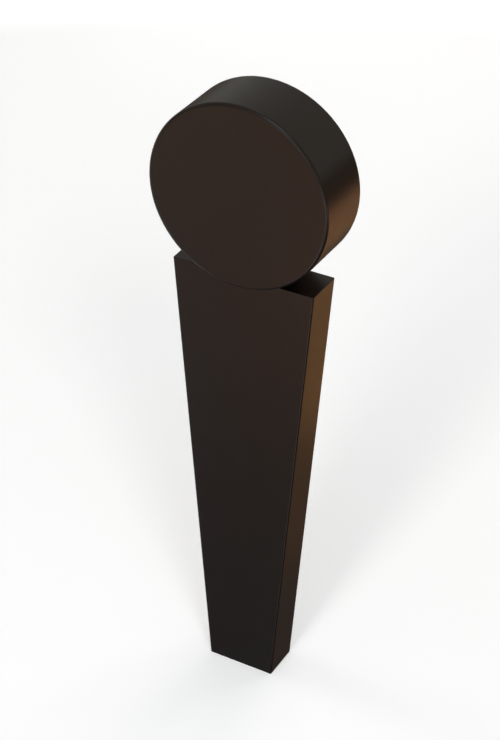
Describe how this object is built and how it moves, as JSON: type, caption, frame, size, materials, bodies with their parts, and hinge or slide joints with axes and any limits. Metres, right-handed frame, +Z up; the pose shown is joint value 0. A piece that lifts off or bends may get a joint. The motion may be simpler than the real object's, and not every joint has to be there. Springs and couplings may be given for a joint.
{
  "type": "bollard post",
  "caption": "Tapered rectangular box post of welded plate, its top closed by two flush caps, with a plain drum-shaped disc head bedded between them; stands on an anchor shoe hidden in the foot.",
  "frame": {"origin": "on the ground at the centre of the foot", "axes": "+Z up, +X across the broad front, the front faces -Y"},
  "size_m": [0.255, 0.09, 0.9],
  "materials": {
    "bronze_paint": "dark bronze metallic powder coat, satin",
    "zinc_steel": "zinc-plated steel, dull",
    "dark_fasteners": "blackened stainless steel, satin",
    "gasket_rubber": "black sealing rubber, matt"
  },
  "bodies": {
    "root": {"front_panel": "bronze_paint", "rear_panel": "bronze_paint", "left_side": "bronze_paint", "right_side": "bronze_paint", "left_cap": "bronze_paint", "right_cap": "bronze_paint", "mid_stiffener": "zinc_steel", "anchor_shoe": "zinc_steel", "shoe_weld_nuts": "zinc_steel", "foot_screws": "dark_fasteners", "foot_screw_washers": "dark_fasteners", "neck_bracket": "zinc_steel", "neck_weld_nuts": "zinc_steel", "neck_screws": "dark_fasteners", "neck_screw_washers": "dark_fasteners", "saddle_block": "zinc_steel", "clamp_block": "zinc_steel", "head_bolts": "zinc_steel", "head_bolt_washers": "zinc_steel", "head_bolt_nuts": "zinc_steel", "head_band": "bronze_paint", "head_front_disc": "bronze_paint", "head_rear_cover": "bronze_paint", "cover_seat": "zinc_steel", "cover_gasket": "gasket_rubber", "cover_screws": "dark_fasteners"}
  },
  "joints": []
}
